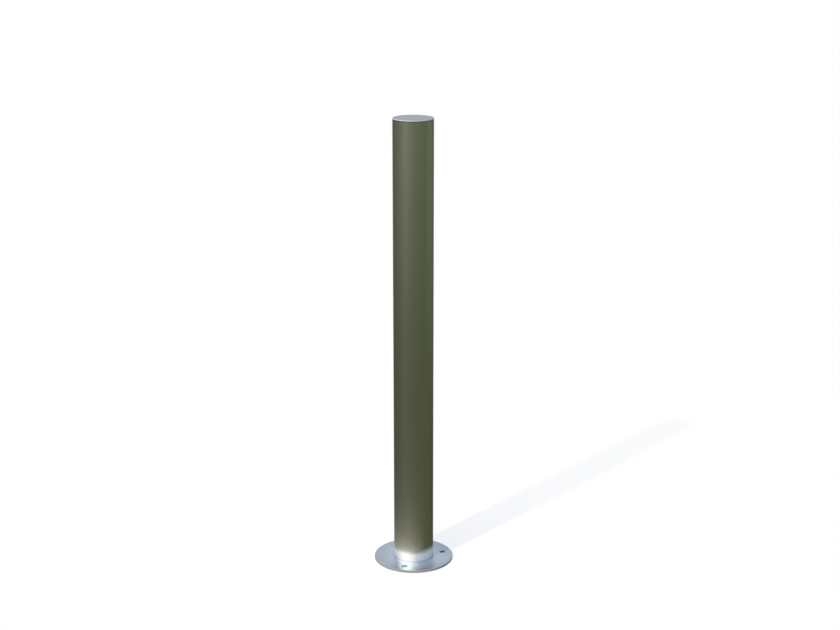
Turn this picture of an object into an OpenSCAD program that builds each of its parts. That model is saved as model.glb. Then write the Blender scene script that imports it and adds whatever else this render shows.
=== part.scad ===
// Fixed street bollard: a round post let into a round base plate with three anchor holes,
// welded to it from below, and closed at the top by a flat cap driven into the post.
// Millimetres. The origin is the centre of the plate's underside, and +Z runs up the post.

/* [Post] */
// Outside diameter of the post
post_d = 88.9; // [60:0.1:130]
// Wall thickness of the post
post_wall = 3; // [2:0.5:5]
// Height of the whole bollard, from the ground to the top of the cap
overall_h = 1010; // [500:10:1400]
// Bevel on the outer rim of each post end, and on the cap where it meets the post
post_bevel = 0.4; // [0.2:0.1:0.8]

/* [Base plate] */
// How far the plate reaches beyond the post all round
plate_reach = 44.5; // [36:0.5:80]
// Thickness of the plate
plate_t = 6; // [5:0.5:15]
// Bevel on the plate's upper and lower rims
plate_bevel = 0.8; // [0.2:0.1:1.5]
// Gap between the post and its seat in the plate
seat_gap = 0.25; // [0.1:0.05:0.5]
// Bevel on the upper edge of the seat
seat_bevel = 0.5; // [0.2:0.1:1]

/* [Anchor holes] */
// Number of anchor holes
hole_count = 3; // [3:1:6]
// Diameter of an anchor hole
hole_d = 13; // [9:0.5:16]
// Distance from the plate's rim to the centre of a hole
hole_inset = 21.5; // [16:0.5:23]
// Bevel on both edges of a hole
hole_bevel = 0.5; // [0.2:0.1:1]
// Angle of the first hole, counted from +X towards +Y
hole_angle = 30; // [0:1:119]

/* [Foot weld] */
// Leg of the weld bead, along the seat and across the post's end
weld_leg = 2; // [1.2:0.1:2]
// Depth of air left between the weld bead and the plate's underside
weld_clear = 0.5; // [0.3:0.1:1]

/* [Cap] */
// Thickness of the cap's head
cap_head = 2.5; // [2.5:0.5:8]
// Rounding of the cap's upper edge
cap_round = 1.5; // [0.5:0.5:2]
// Depth of the cap's skirt inside the post
skirt_h = 18; // [12:1:30]
// Wall thickness of the skirt
skirt_wall = 3; // [2:0.5:4]
// Gap between the skirt and the post
skirt_gap = 0.6; // [0.4:0.1:1]
// Lead-in at the skirt's lower rim
skirt_bevel = 1; // [0.5:0.1:1.5]
// Number of grip ridges round the skirt
ridge_count = 4; // [2:1:5]
// Width of a grip ridge along the skirt
ridge_w = 1.6; // [1:0.1:1.8]
// Gap left between a ridge's crest and the post
ridge_gap = 0.05; // [0.02:0.01:0.1]

/* [Hidden] */
$fn = 180;

post_r = post_d / 2;
post_bore_r = post_r - post_wall;
post_bottom = weld_clear + weld_leg;
post_top = overall_h - cap_head;
plate_r = post_r + plate_reach;
seat_r = post_r + seat_gap;
hole_circle_r = plate_r - hole_inset;
skirt_r = post_bore_r - skirt_gap;
skirt_inner_r = skirt_r - skirt_wall;
ridge_r = post_bore_r - ridge_gap;
ridge_pitch = skirt_h / (ridge_count + 1);
// A cutter reaches this far past the face that it opens
past = 1;

// Half section of the plate: a flat ring, bevelled at its outer rims and at the top of the seat.
module plate_section() {
    polygon([
        [seat_r, 0],
        [plate_r - plate_bevel, 0],
        [plate_r, plate_bevel],
        [plate_r, plate_t - plate_bevel],
        [plate_r - plate_bevel, plate_t],
        [seat_r + seat_bevel, plate_t],
        [seat_r, plate_t - seat_bevel],
    ]);
}

// Cutter for one anchor hole, wider at both faces of the plate to bevel its edges.
module anchor_hole() {
    hole_r = hole_d / 2;
    wide_r = hole_r + hole_bevel + past;
    translate([0, 0, -past]) cylinder(r = hole_r, h = plate_t + 2 * past);
    translate([0, 0, plate_t - hole_bevel])
        cylinder(r1 = hole_r, r2 = wide_r, h = hole_bevel + past);
    translate([0, 0, -past]) cylinder(r1 = wide_r, r2 = hole_r, h = hole_bevel + past);
}

// Round plate that is bolted to the ground. The post stands in the seat at its centre.
module base_plate() {
    color("LightSteelBlue") difference() {
        rotate_extrude() plate_section();
        for (i = [0 : hole_count - 1])
            rotate(hole_angle + 360 * i / hole_count)
                translate([hole_circle_r, 0, 0]) anchor_hole();
    }
}

// Weld bead below the post's end, in the corner that it makes with the seat. Its face is round.
module foot_weld() {
    color("Silver") rotate_extrude() translate([seat_r, post_bottom]) intersection() {
        circle(r = weld_leg);
        translate([-weld_leg, -weld_leg]) square(weld_leg);
    }
}

// Half section of the post's wall, bevelled at both ends of its outer side.
module post_section() {
    polygon([
        [post_bore_r, post_bottom],
        [post_r - post_bevel, post_bottom],
        [post_r, post_bottom + post_bevel],
        [post_r, post_top - post_bevel],
        [post_r - post_bevel, post_top],
        [post_bore_r, post_top],
    ]);
}

// Round tube that makes the post.
module post_tube() {
    color("DarkOliveGreen") rotate_extrude() post_section();
}

// Half section of the cap's head, with its height counted from the top of the post.
module head_section() {
    round_r = post_r - cap_round;
    side_h = cap_head - cap_round;
    polygon([
        [0, 0],
        [post_r - post_bevel, 0],
        [post_r, post_bevel],
        [post_r, side_h],
        [round_r, side_h],
        [round_r, cap_head],
        [0, cap_head],
    ]);
    translate([round_r, side_h]) intersection() {
        circle(r = cap_round);
        square(cap_round);
    }
}

// Half section of the skirt. It runs up into the head, and its lower rim leads into the post.
module skirt_section() {
    polygon([
        [skirt_inner_r, -skirt_h],
        [skirt_r - skirt_bevel, -skirt_h],
        [skirt_r, skirt_bevel - skirt_h],
        [skirt_r, cap_head / 2],
        [skirt_inner_r, cap_head / 2],
    ]);
}

// Half section of one grip ridge. It slopes in downwards, so that the cap drives in and then holds.
module ridge_section() {
    root_r = skirt_r - skirt_wall / 2;
    polygon([
        [root_r, -ridge_w / 2],
        [skirt_r, -ridge_w / 2],
        [ridge_r, ridge_w / 2],
        [root_r, ridge_w / 2],
    ]);
}

// Flat cap in one piece: a head as wide as the post, and a skirt with grip ridges inside the post.
module top_cap() {
    color("LightSteelBlue") translate([0, 0, post_top]) rotate_extrude() {
        head_section();
        skirt_section();
        for (i = [1 : ridge_count])
            translate([0, -i * ridge_pitch]) ridge_section();
    }
}

base_plate();
foot_weld();
post_tube();
top_cap();
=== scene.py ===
"""Looks of the fixed street bollard: finishes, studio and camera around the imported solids.

Lengths are in metres, in the solids' own frame: +Z runs up the post and the ground is at z = 0.
Directions around the post count from +X towards +Y.
"""

import math

import bmesh
import bpy
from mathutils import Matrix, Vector


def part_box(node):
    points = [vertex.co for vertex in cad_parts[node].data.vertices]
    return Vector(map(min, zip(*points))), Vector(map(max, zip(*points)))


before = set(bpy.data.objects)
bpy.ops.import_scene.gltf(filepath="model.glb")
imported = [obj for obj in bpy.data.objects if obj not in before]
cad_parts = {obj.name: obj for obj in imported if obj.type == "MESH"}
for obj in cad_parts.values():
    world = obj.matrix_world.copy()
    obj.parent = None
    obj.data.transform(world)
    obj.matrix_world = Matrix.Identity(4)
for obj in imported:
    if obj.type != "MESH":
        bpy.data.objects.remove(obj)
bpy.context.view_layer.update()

MM = 0.001

# Sizes that the finishes follow, read from the solids
PLATE_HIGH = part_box("base_plate")[1]
POST_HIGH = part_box("post_tube")[1]
PLATE_R = PLATE_HIGH.x
PLATE_TOP = PLATE_HIGH.z
POST_R = POST_HIGH.x
POST_TOP = POST_HIGH.z

# The photo's camera, found by fitting the bollard's outline
CAMERA_AROUND = math.radians(18.0)
CAMERA_DISTANCE = 3.2604
CAMERA_HEIGHT = 1.4775
CAMERA_DOWN = math.radians(15.466)
CAMERA_RIGHT = math.radians(0.2545)
CAMERA_FOCAL_PX = 1540.2
PHOTO_WIDTH_PX = 840
SENSOR_MM = 36.0

# The key light, from the direction and length of the photo's shadow
KEY_AROUND = math.radians(230.1) + CAMERA_AROUND
KEY_UP = math.radians(40.6)
KEY_ANGLE = math.radians(1.5)
KEY_STRENGTH = 4.3
KEY_COLOUR = (1.08, 1.0, 0.84)

# The world: its fill light, and the white that it shows to the eye and in gloss
FILL_STRENGTH = 0.24
FILL_COLOUR = (0.25, 0.5, 1.0)
SEEN_WHITE = 1.0

# Gleams that show in gloss only: how far around, how high and how strong each one is. They draw the
# soft bright line down the left of the post, and the foot that they light throws it on the plate.
GLEAM_ANGLE = math.radians(8.0)
GLEAM_COLOUR = (1.32, 1.0, 0.62)
GLEAMS = {
    "gleam_low": (math.radians(228.0) + CAMERA_AROUND, math.radians(12.0), 0.6),
    "gleam_left": (math.radians(211.0) + CAMERA_AROUND, math.radians(25.0), 1.45),
    "gleam_front": (math.radians(250.0) + CAMERA_AROUND, math.radians(26.0), 0.50),
    "gleam_right": (math.radians(282.0) + CAMERA_AROUND, math.radians(26.0), 0.45),
}
LAMP_DISTANCE = 5.0

# Soft box behind on the right, which lifts that edge of the post
BOX_AROUND = math.radians(20.0) + CAMERA_AROUND
BOX_DISTANCE = 1.6
BOX_HEIGHT = 0.81
BOX_SIZE = (1.2, 1.58)
BOX_RADIANCE = 0.5
BOX_COLOUR = (0.80, 0.95, 0.95)

# The floor: its shape, the grey that it bounces, and how bright the lamps alone make a white floor
FLOOR_R = 60.0
FLOOR_CORNERS = 96
FLOOR_DROP = 0.3 * MM
FLOOR_BOUNCE = (0.80, 0.80, 0.80)
FLOOR_LIT = (1.05, 1.04, 1.02)

# What the shadow takes from the floor's white: beside the plate, far from it, and in reflections
SHADOW_NEAR = (0.118, 0.118, 0.090)
SHADOW_FAR = (0.052, 0.047, 0.033)
SHADOW_REFLECTED = (0.55, 0.52, 0.45)
SHADOW_NEAR_R = 0.12
SHADOW_FADE = 0.20

# The post's olive green, as linear colours, with painted light and shade: lighter at the top, darkest at
# OLIVE_LOW_Z and below.
OLIVE_TOP = (0.086, 0.104, 0.060)
OLIVE_LOW = (0.066, 0.076, 0.0375)
OLIVE_LOW_Z = 0.40
# Painted sheen: the tint and direction below make the olive greyer where the highlight falls
SHEEN_TINT = (0.97, 0.93, 1.24)
SHEEN_AROUND = math.radians(261.6)
POST_ROUGHNESS = (0.38, 0.43)
POST_GRAZING = (0.5, 0.5, 0.5, 1.0)
POST_CLOUDS = (9.0, 9.0, 2.5)
POST_FLECKS = 900.0
POST_PEEL = 420.0

# Silver at the foot, by height above the plate: whole up to one height and gone at the next. It is a
# painted reflection of the plate in the post. Two tails of painted light fade out further up on the side
# that faces the key light, and little on the other side.
SILVER_FULL_TO = 14 * MM
OLIVE_FROM = 34 * MM
NEAR_TAIL_FROM = 11.5 * MM
NEAR_TAIL = 13 * MM
FAR_TAIL = 55 * MM
FAR_TAIL_SHARE = 0.5
TAIL_AROUND = math.radians(247.0)
TAIL_LEAST = 0.08
TAIL_SILVER = (0.54, 0.55, 0.50)
FOOT_SILVER = (0.505, 0.565, 0.665)
# Painted highlight: the silver is made brighter on one side of the foot
FOOT_HIGHLIGHT = (1.29, 1.24, 1.16)
FOOT_HIGHLIGHT_AROUND = math.radians(266.0)
FOOT_ROUGHER = 0.19

# Marks on the post: painted shade in the corner with the plate and under the cap, runs and scuffs
FOOT_CORNER_SHADE = (0.72, 0.74, 0.80)
CORNER_SHADE_FULL = 1 * MM
CORNER_SHADE_END = 4 * MM
CORNER_SHADE_WANDER = 2 * MM
CAP_SHADE = (0.62, 0.58, 0.68)
CAP_SHADE_START = 2.2 * MM
CAP_SHADE_FULL = 1 * MM
RUNS = (0.95, 0.95, 0.94)
RUN_GRAIN = (160.0, 160.0, 3.0)
SCUFFS = (1.35, 1.35, 1.35)
SCUFF_GRAIN = (90.0, 90.0, 700.0)
SCUFFS_FULL = 40 * MM
SCUFFS_END = 220 * MM

# Bare steel of the plate and the cap, with the colours of their cut edges
PLATE_SILVER = (0.375, 0.445, 0.53)
PLATE_EDGE = (0.235, 0.245, 0.24)
PLATE_ROUGHNESS = (0.31, 0.36)
CAP_SILVER = (0.335, 0.415, 0.50)
CAP_EDGE = (0.46, 0.48, 0.52)
CAP_ROUGHNESS = (0.25, 0.29)
STEEL_METALLIC = 0.85
STEEL_GRAZING = (0.6, 0.6, 0.6, 1.0)
STEEL_CLOUDS = 22.0
STEEL_GRAIN = (60.0, 2600.0, 2600.0)
EDGE_ROUGHER = 0.3

# Marks on the plate: a painted reflection that lightens it towards the post, and painted shade round its
# foot
PLATE_GLOW = (1.2, 1.2, 1.2)
PLATE_GLOW_AT_RIM = 0.3
PLATE_CORNER_SHADE = (0.78, 0.82, 0.88)
PLATE_SHADE_FULL = 1 * MM
PLATE_SHADE_END = 3 * MM
PLATE_SHADE_WANDER = 3 * MM
PLATE_SHADE_WAVES = 60.0

# The anchor holes' walls, and painted shade on one side of the front hole
HOLE_INSET = 21.5 * MM
HOLE_CIRCLE_R = PLATE_R - HOLE_INSET
HOLE_WALL = (0.54, 0.60, 0.64)
RIM_DEPTH = 3 * MM
SHADED_HOLE_AROUND = math.radians(270.0)
HOLE_SHADE = (0.20, 0.215, 0.225)
HOLE_SHADE_AROUND = math.radians(18.0)
HOLE_SHADE_REACH = (8 * MM, 9 * MM)
HOLE_SHADE_SIDE = (-2.5 * MM, 0.5 * MM)

# The weld bead under the post, with painted shade in its ripple valleys
WELD_METAL = (0.34, 0.34, 0.33)
WELD_BLUED = (0.22, 0.24, 0.29)
WELD_VALLEY_SHADE = (0.75, 0.75, 0.75)
WELD_ROUGHNESS = (0.38, 0.52)
WELD_RIPPLES = 150.0
WELD_WANDER = 3.0
WELD_WAVES = 90.0


def node_tree(material):
    """The material's empty node tree, with its output node."""
    material.use_nodes = True
    tree = material.node_tree
    tree.nodes.clear()
    return tree, tree.nodes.new("ShaderNodeOutputMaterial")


def shade(colour, factor):
    """The colour, made darker or lighter by the factor."""
    return tuple(part * factor for part in colour)


class Graph:
    """Short calls that add nodes to one tree and join them. A value that is a socket is linked, and
    any other value is written into the input."""

    def __init__(self, tree):
        self.tree = tree

    def put(self, socket, value):
        if isinstance(value, bpy.types.NodeSocket):
            self.tree.links.new(value, socket)
        elif value is not None:
            socket.default_value = value

    def node(self, kind, inputs=None, **settings):
        made = self.tree.nodes.new("ShaderNode" + kind)
        for name, value in settings.items():
            setattr(made, name, value)
        for name, value in (inputs or {}).items():
            self.put(made.inputs[name], value)
        return made

    def math(self, operation, a, b=None):
        return self.node("Math", {0: a, 1: b}, operation=operation).outputs[0]

    def ramp(self, value, low, high, out_low=0.0, out_high=1.0, smooth=True):
        """Maps value from the range low..high to out_low..out_high and stops at both ends."""
        return self.node(
            "MapRange",
            {"Value": value, "From Min": low, "From Max": high, "To Min": out_low, "To Max": out_high},
            interpolation_type="SMOOTHSTEP" if smooth else "LINEAR",
        ).outputs["Result"]

    def mix(self, share, a, b):
        """Colour a where share is 0 and colour b where it is 1."""
        made = self.node("Mix", data_type="RGBA")
        self.put(made.inputs[0], share)
        for socket, colour in ((made.inputs[6], a), (made.inputs[7], b)):
            self.put(socket, (*colour, 1.0) if isinstance(colour, tuple) else colour)
        return made.outputs[2]

    def tint(self, share, colour, factor):
        """The colour, multiplied by the factor where share is 1."""
        made = self.node("Mix", data_type="RGBA", blend_type="MULTIPLY")
        self.put(made.inputs[0], share)
        self.put(made.inputs[6], colour)
        self.put(made.inputs[7], (*factor, 1.0))
        return made.outputs[2]

    def noise(self, where, scale, detail=3.0, roughness=0.5):
        inputs = {"Vector": where, "Scale": scale, "Detail": detail, "Roughness": roughness}
        return self.node("TexNoise", inputs).outputs["Fac"]

    def grain(self, where, per_metre, detail):
        """Noise with its own number of waves per metre along each axis, so that it runs one way."""
        scaled = self.node("Mapping", {"Vector": where, "Scale": per_metre}).outputs["Vector"]
        return self.noise(scaled, 1.0, detail)

    def place(self):
        """The point's place in the solids' frame: the vector, then x, y and z."""
        where = self.node("TexCoord").outputs["Object"]
        split = self.node("SeparateXYZ", {"Vector": where}).outputs
        return where, split[0], split[1], split[2]

    def along(self, x, y, around, reach):
        """How far the point lies towards the direction around, counted in reaches."""
        return self.math(
            "ADD",
            self.math("MULTIPLY", x, math.cos(around) / reach),
            self.math("MULTIPLY", y, math.sin(around) / reach),
        )

    def length(self, x, y):
        """How far the point (x, y) lies from the origin."""
        squares = self.math("ADD", self.math("MULTIPLY", x, x), self.math("MULTIPLY", y, y))
        return self.math("SQRT", squares)

    def bump(self, height, strength, distance):
        inputs = {"Height": height, "Strength": strength, "Distance": distance}
        return self.node("Bump", inputs).outputs["Normal"]


def painted_foot_light(g, x, y, height):
    """Painted silver at the post's foot, the plate's reflection and light on its lit side: how much of
    it the post shows at the point, and its colour, with a painted highlight on one side."""
    near = g.math("EXPONENT", g.math("DIVIDE", g.math("SUBTRACT", height, NEAR_TAIL_FROM), -NEAR_TAIL))
    far = g.math("MULTIPLY", g.math("EXPONENT", g.math("DIVIDE", height, -FAR_TAIL)), FAR_TAIL_SHARE)
    # painted light: the tails reach higher on the side that faces the key light
    tail_side = g.ramp(g.along(x, y, TAIL_AROUND, POST_R), 0.12, 0.97, TAIL_LEAST, 1.0)
    tail = g.math("MULTIPLY", g.math("ADD", far, near), tail_side)
    # painted reflection of the plate: a silver band up to this height
    band = g.ramp(height, SILVER_FULL_TO, OLIVE_FROM, 1.0, 0.0)
    painted_foot_share = g.math("MAXIMUM", band, g.math("MINIMUM", tail, 1.0))

    metal = g.mix(g.ramp(painted_foot_share, 0.3, 0.9), TAIL_SILVER, FOOT_SILVER)
    # painted highlight on one side of the foot
    highlight_side = g.ramp(g.along(x, y, FOOT_HIGHLIGHT_AROUND, POST_R), 0.80, 0.985)
    highlight = g.math("MULTIPLY", g.ramp(painted_foot_share, 0.5, 0.9), highlight_side)
    return painted_foot_share, g.tint(highlight, metal, FOOT_HIGHLIGHT)


def post_marks(g, where, z, height, clouds, runs, colour):
    """The post's colour with painted shade in the corner with the plate and under the cap, faint runs
    and scuffs.
    """
    # painted shade in the corner where the post meets the plate
    corner_shade_height = g.math("ADD", height, g.math("MULTIPLY", clouds, CORNER_SHADE_WANDER))
    colour = g.tint(g.ramp(corner_shade_height, CORNER_SHADE_FULL, CORNER_SHADE_END, 1.0, 0.0), colour, FOOT_CORNER_SHADE)
    # painted shade: a dark line just under the cap
    colour = g.tint(g.ramp(z, POST_TOP - CAP_SHADE_START, POST_TOP - CAP_SHADE_FULL), colour, CAP_SHADE)
    colour = g.tint(g.ramp(runs, 0.52, 0.75), colour, RUNS)
    scuffs = g.grain(where, SCUFF_GRAIN, 2.0)
    near_foot = g.ramp(height, SCUFFS_FULL, SCUFFS_END, 1.0, 0.0)
    return g.tint(g.math("MULTIPLY", g.ramp(scuffs, 0.70, 0.78), near_foot), colour, SCUFFS)


def finish_of_post():
    """Satin olive green with a metallic sheen. Painted light and shade make it lighter at the top and
    darker towards the foot, a painted sheen makes it greyer on the side where the highlight falls,
    and just above the plate it fades into painted silver, the plate's reflection in the post."""
    material = bpy.data.materials.new("post_finish_satin")
    tree, output = node_tree(material)
    g = Graph(tree)
    where, x, y, z = g.place()
    height = g.math("SUBTRACT", z, PLATE_TOP)

    # painted light and shade: lighter towards the top, darkest at OLIVE_LOW_Z and below
    olive = g.mix(g.ramp(z, OLIVE_LOW_Z, POST_TOP, smooth=False), OLIVE_LOW, OLIVE_TOP)
    # painted sheen: greyer on the side where the highlight falls
    olive = g.tint(g.ramp(g.along(x, y, SHEEN_AROUND, POST_R), 0.65, 0.98), olive, SHEEN_TINT)
    clouds = g.grain(where, POST_CLOUDS, 4.0)
    flecks = g.noise(where, POST_FLECKS, 2.0)
    olive = g.tint(g.ramp(clouds, 0.3, 0.7), olive, (1.06, 1.06, 1.06))
    olive = g.tint(g.ramp(flecks, 0.5, 0.7), olive, (1.25, 1.25, 1.25))

    painted_foot_share, metal = painted_foot_light(g, x, y, height)
    runs = g.grain(where, RUN_GRAIN, 3.0)
    colour = post_marks(g, where, z, height, clouds, runs, g.mix(painted_foot_share, olive, metal))

    rougher = g.ramp(painted_foot_share, 0.3, 1.0, 0.0, FOOT_ROUGHER)
    roughness = g.math("ADD", g.ramp(clouds, 0.3, 0.7, *POST_ROUGHNESS), rougher)
    roughness = g.math("ADD", roughness, g.ramp(runs, 0.3, 0.7, -0.01, 0.02))
    peel = g.noise(where, POST_PEEL, 2.0)
    shader = g.node("BsdfPrincipled", {
        "Base Color": colour,
        "Metallic": 1.0,
        "Roughness": roughness,
        "Specular Tint": POST_GRAZING,
        "Normal": g.bump(peel, 0.15, 0.2 * MM),
    })
    g.put(output.inputs["Surface"], shader.outputs[0])
    return material


def finish_of_bare_steel(name, base, edge, roughness, edge_metallic, edge_gloss, marks=None):
    """Satin bare metal with a fine straight grain. Its upright faces, the cut edges, are duller."""
    material = bpy.data.materials.new(name)
    tree, output = node_tree(material)
    g = Graph(tree)
    where, x, y, _ = g.place()

    normal = g.node("NewGeometry").outputs["Normal"]
    facing_up = g.math("ABSOLUTE", g.node("SeparateXYZ", {"Vector": normal}).outputs[2])
    upright = g.ramp(facing_up, 0.35, 0.97, 1.0, 0.0)

    clouds = g.noise(where, STEEL_CLOUDS, 4.0)
    grain = g.grain(where, STEEL_GRAIN, 2.0)
    silver = g.mix(g.ramp(clouds, 0.3, 0.7), shade(base, 0.96), shade(base, 1.04))
    silver = g.mix(g.ramp(grain, 0.3, 0.7, 0.0, 0.08), silver, shade(base, 0.8))
    if marks:
        silver, edge = marks(g, where, x, y, silver, edge)

    rough_face = g.ramp(clouds, 0.3, 0.7, *roughness)
    shader = g.node("BsdfPrincipled", {
        "Base Color": g.mix(upright, silver, edge),
        "Metallic": g.ramp(upright, 0.0, 1.0, STEEL_METALLIC, edge_metallic),
        "Roughness": g.math("ADD", rough_face, g.math("MULTIPLY", upright, EDGE_ROUGHER)),
        "Specular IOR Level": edge_gloss,
        "Specular Tint": STEEL_GRAZING,
        "Normal": g.bump(grain, 0.06, 0.1 * MM),
    })
    g.put(output.inputs["Surface"], shader.outputs[0])
    return material


def plate_marks(g, where, x, y, silver, edge):
    """The plate's face and edge colours with its marks: a painted reflection that lightens the metal
    near the post, painted shade where the two meet, and light walls in the anchor holes, the front one
    with painted shade on one side."""
    out = g.length(x, y)
    # painted reflection of the post's bright foot: lighter towards the post
    silver = g.tint(g.ramp(out, POST_R, PLATE_R, 1.0, PLATE_GLOW_AT_RIM), silver, PLATE_GLOW)
    # painted shade on the plate round the post's foot
    ring_out = g.math("ADD", out, g.math("MULTIPLY", g.noise(where, PLATE_SHADE_WAVES, 3.0), PLATE_SHADE_WANDER))
    ring_shade = g.ramp(ring_out, POST_R + PLATE_SHADE_FULL, POST_R + PLATE_SHADE_END, 1.0, 0.0)
    silver = g.tint(ring_shade, silver, PLATE_CORNER_SHADE)

    edge = g.mix(g.ramp(out, PLATE_R - RIM_DEPTH, PLATE_R - 2 * RIM_DEPTH), edge, HOLE_WALL)
    # painted shade on one side of the front hole's wall
    off_x = g.math("SUBTRACT", x, HOLE_CIRCLE_R * math.cos(SHADED_HOLE_AROUND))
    off_y = g.math("SUBTRACT", y, HOLE_CIRCLE_R * math.sin(SHADED_HOLE_AROUND))
    in_hole = g.ramp(g.length(off_x, off_y), *HOLE_SHADE_REACH, 1.0, 0.0)
    on_side = g.ramp(g.along(off_x, off_y, HOLE_SHADE_AROUND, 1.0), *HOLE_SHADE_SIDE)
    return silver, g.mix(g.math("MULTIPLY", in_hole, on_side), edge, HOLE_SHADE)


def finish_of_weld():
    """Bare weld metal with the ripples of a bead laid round the seat, seen from below only."""
    material = bpy.data.materials.new("weld_metal")
    tree, output = node_tree(material)
    g = Graph(tree)
    where, x, y, _ = g.place()

    turn = g.math("MULTIPLY", g.math("ARCTAN2", y, x), WELD_RIPPLES)
    wander = g.noise(where, WELD_WAVES, 2.0)
    ripple = g.math("SINE", g.math("ADD", turn, g.math("MULTIPLY", wander, WELD_WANDER)))
    ripple = g.ramp(ripple, -1.0, 1.0)
    colour = g.mix(g.ramp(wander, 0.35, 0.65), WELD_METAL, WELD_BLUED)
    # painted shade: the ripple valleys are darker
    shader = g.node("BsdfPrincipled", {
        "Base Color": g.tint(g.ramp(ripple, 0.0, 0.5, 1.0, 0.0), colour, WELD_VALLEY_SHADE),
        "Metallic": 1.0,
        "Roughness": g.ramp(wander, 0.3, 0.7, *WELD_ROUGHNESS),
        "Normal": g.bump(ripple, 0.6, 0.4 * MM),
    })
    g.put(output.inputs["Surface"], shader.outputs[0])
    return material


def dress(node, material):
    """Gives a carried-over solid its finish."""
    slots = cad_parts[node].data.materials
    slots.clear()
    slots.append(material)


def seen_ray(g):
    """1 on rays that show the background: those of the camera, gloss and glass."""
    path = g.node("LightPath").outputs
    either = g.math("MAXIMUM", path["Is Camera Ray"], path["Is Glossy Ray"])
    return g.math("MAXIMUM", either, path["Is Transmission Ray"])


def finish_of_floor():
    """White where it is seen directly, with a shadow that grows paler away from the plate, and
    plain pale grey to the light that it bounces."""
    material = bpy.data.materials.new("studio_floor")
    tree, output = node_tree(material)
    g = Graph(tree)
    where = g.place()[0]
    reach = g.node("VectorMath", {0: where}, operation="LENGTH").outputs["Value"]
    past_plate = g.math("DIVIDE", g.math("SUBTRACT", reach, SHADOW_NEAR_R), -SHADOW_FADE)
    near = g.math("MINIMUM", g.math("EXPONENT", past_plate), 1.0)
    shadow = g.mix(near, SHADOW_FAR, SHADOW_NEAR)
    shadow = g.mix(g.node("LightPath").outputs["Is Camera Ray"], SHADOW_REFLECTED, shadow)

    taken = g.node("VectorMath", {0: shadow, 1: FLOOR_LIT}, operation="MULTIPLY").outputs[0]
    lit_white = g.node("VectorMath", {0: (SEEN_WHITE,) * 3, 1: taken}, operation="SUBTRACT").outputs[0]
    glow = g.node("Emission", {"Color": lit_white, "Strength": 1.0}).outputs[0]
    shadowed = g.node("BsdfDiffuse", {"Color": shadow}).outputs[0]
    seen = g.node("AddShader", {0: glow, 1: shadowed}).outputs[0]
    bounced = g.node("BsdfDiffuse", {"Color": (*FLOOR_BOUNCE, 1.0)}).outputs[0]
    surface = g.node("MixShader", {0: seen_ray(g), 1: bounced, 2: seen}).outputs[0]
    g.put(output.inputs["Surface"], surface)
    return material


def make_floor():
    """Wide round floor, just under the plate."""
    mesh = bpy.data.meshes.new("studio_floor")
    shape = bmesh.new()
    bmesh.ops.create_circle(shape, cap_ends=True, radius=FLOOR_R, segments=FLOOR_CORNERS)
    shape.to_mesh(mesh)
    shape.free()
    floor = bpy.data.objects.new("studio_floor", mesh)
    floor.location.z = -FLOOR_DROP
    bpy.context.scene.collection.objects.link(floor)
    mesh.materials.append(finish_of_floor())


def make_world():
    """Even fill light. Seen directly or in gloss, the world is white."""
    world = bpy.data.worlds.new("studio")
    bpy.context.scene.world = world
    world.use_nodes = True
    world.node_tree.nodes.clear()
    g = Graph(world.node_tree)
    fill = g.node("Background", {"Color": (*FILL_COLOUR, 1.0), "Strength": FILL_STRENGTH}).outputs[0]
    white = g.node("Background", {"Color": (1.0, 1.0, 1.0, 1.0), "Strength": SEEN_WHITE}).outputs[0]
    both = g.node("MixShader", {0: seen_ray(g), 1: fill, 2: white}).outputs[0]
    g.put(g.node("OutputWorld").inputs["Surface"], both)
    world.cycles.sampling_method = "NONE"


def make_distant_light(name, around, up, strength, angle, colour):
    """A light as far away as the sun, with the disc that the angle gives it."""
    data = bpy.data.lights.new(name, "SUN")
    data.energy = strength
    data.angle = angle
    data.color = colour
    lamp = bpy.data.objects.new(name, data)
    towards = Vector((math.cos(around) * math.cos(up), math.sin(around) * math.cos(up), math.sin(up)))
    lamp.rotation_mode = "QUATERNION"
    lamp.rotation_quaternion = towards.to_track_quat("Z", "Y")
    lamp.location = towards * LAMP_DISTANCE
    bpy.context.scene.collection.objects.link(lamp)
    return lamp


def make_gleam(name, around, up, strength, angle, colour, receivers):
    """A distant light that shows in gloss only, and only on the receivers."""
    lamp = make_distant_light(name, around, up, strength, angle, colour)
    lamp.visible_diffuse = False
    lamp.light_linking.receiver_collection = receivers


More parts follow.
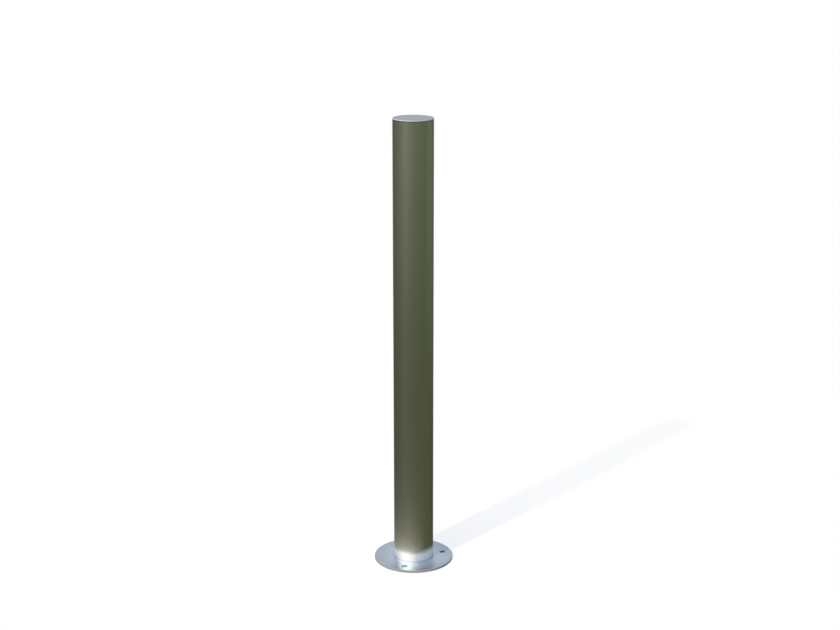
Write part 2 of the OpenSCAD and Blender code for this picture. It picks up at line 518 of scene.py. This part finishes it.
def make_soft_box():
    """Large dim soft box that stands upright and faces the post."""
    data = bpy.data.lights.new("soft_box", "AREA")
    data.shape = "RECTANGLE"
    data.size, data.size_y = BOX_SIZE
    data.energy = BOX_RADIANCE * math.pi * BOX_SIZE[0] * BOX_SIZE[1]
    data.color = BOX_COLOUR
    lamp = bpy.data.objects.new("soft_box", data)
    towards = Vector((math.cos(BOX_AROUND), math.sin(BOX_AROUND), 0.0))
    lamp.location = towards * BOX_DISTANCE + Vector((0.0, 0.0, BOX_HEIGHT))
    lamp.rotation_mode = "QUATERNION"
    lamp.rotation_quaternion = towards.to_track_quat("Z", "Y")
    lamp.visible_camera = False
    bpy.context.scene.collection.objects.link(lamp)


def make_lights():
    """The key light, the gleams and the soft box. The key's own gloss is a gleam too, and all gleams
    fall on the post alone: the flat plate and cap would throw them back as plain white."""
    post_only = bpy.data.collections.new("lit_by_gleams")
    post_only.objects.link(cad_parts["post_tube"])

    key = make_distant_light("key", KEY_AROUND, KEY_UP, KEY_STRENGTH, KEY_ANGLE, KEY_COLOUR)
    key.visible_glossy = False
    make_gleam("gleam_of_key", KEY_AROUND, KEY_UP, KEY_STRENGTH, KEY_ANGLE, KEY_COLOUR, post_only)
    for name, (around, up, strength) in GLEAMS.items():
        make_gleam(name, around, up, strength, GLEAM_ANGLE, GLEAM_COLOUR, post_only)
    make_soft_box()


def make_camera():
    """The photo's camera: eye above the bollard's top, looking slightly down."""
    data = bpy.data.cameras.new("photo_camera")
    data.sensor_width = SENSOR_MM
    data.lens = CAMERA_FOCAL_PX * SENSOR_MM / PHOTO_WIDTH_PX
    camera = bpy.data.objects.new("photo_camera", data)
    camera.location = (
        CAMERA_DISTANCE * math.sin(CAMERA_AROUND),
        -CAMERA_DISTANCE * math.cos(CAMERA_AROUND),
        CAMERA_HEIGHT,
    )
    camera.rotation_euler = (math.radians(90.0) - CAMERA_DOWN, 0.0, CAMERA_AROUND - CAMERA_RIGHT)
    bpy.context.scene.collection.objects.link(camera)
    bpy.context.scene.camera = camera


bpy.context.scene.view_settings.view_transform = "Standard"
make_camera()
make_world()
make_lights()
make_floor()

dress("post_tube", finish_of_post())
dress("base_plate", finish_of_bare_steel(
    "plate_steel_satin", PLATE_SILVER, PLATE_EDGE, PLATE_ROUGHNESS,
    edge_metallic=0.0, edge_gloss=0.1, marks=plate_marks,
))
dress("foot_weld", finish_of_weld())
dress("top_cap", finish_of_bare_steel(
    "cap_steel_satin", CAP_SILVER, CAP_EDGE, CAP_ROUGHNESS, edge_metallic=0.1, edge_gloss=0.5,
))
